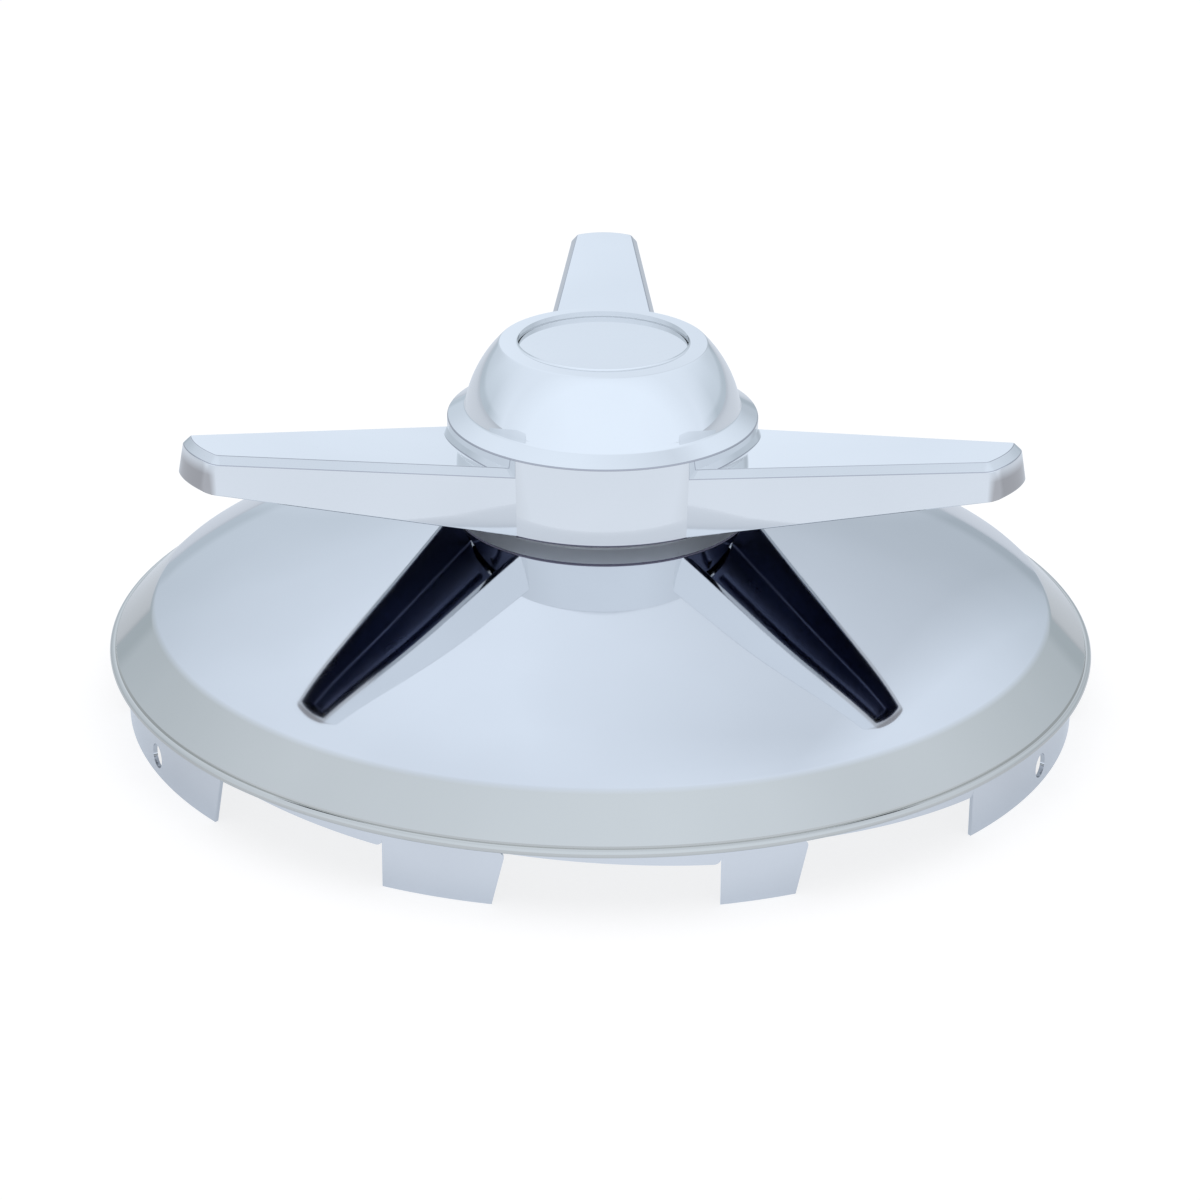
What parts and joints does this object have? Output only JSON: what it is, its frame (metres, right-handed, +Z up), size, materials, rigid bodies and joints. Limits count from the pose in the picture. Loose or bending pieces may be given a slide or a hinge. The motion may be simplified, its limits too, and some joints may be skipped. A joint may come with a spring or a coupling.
{
  "type": "spinner hubcap",
  "caption": "Chromed wheel hub cap: shallow cone with a rolled lip and notched skirt, carrying a raised hub with upswept tapering wings.",
  "frame": {"origin": "centre of the rim circle, at the height of the skirt tabs' ends", "axes": "+Z up along the cap's axis, out of the wheel; +Y along the wing that points away from the viewer"},
  "size_m": [0.228, 0.228, 0.0873],
  "materials": {
    "cap_chrome": "polished chrome plate on steel sheet",
    "spinner_chrome": "polished chrome plate on a zinc casting",
    "disc_chrome": "polished chrome plate",
    "screw_zinc": "bright zinc plate",
    "spring_steel": "dark spring steel",
    "washer_zinc": "bright zinc plate"
  },
  "bodies": {
    "root": {"cap_shell": "cap_chrome", "spinner": "spinner_chrome", "centre_disc": "disc_chrome", "spinner_screws": "screw_zinc", "lock_washers": "spring_steel", "flat_washers": "washer_zinc"}
  },
  "joints": []
}
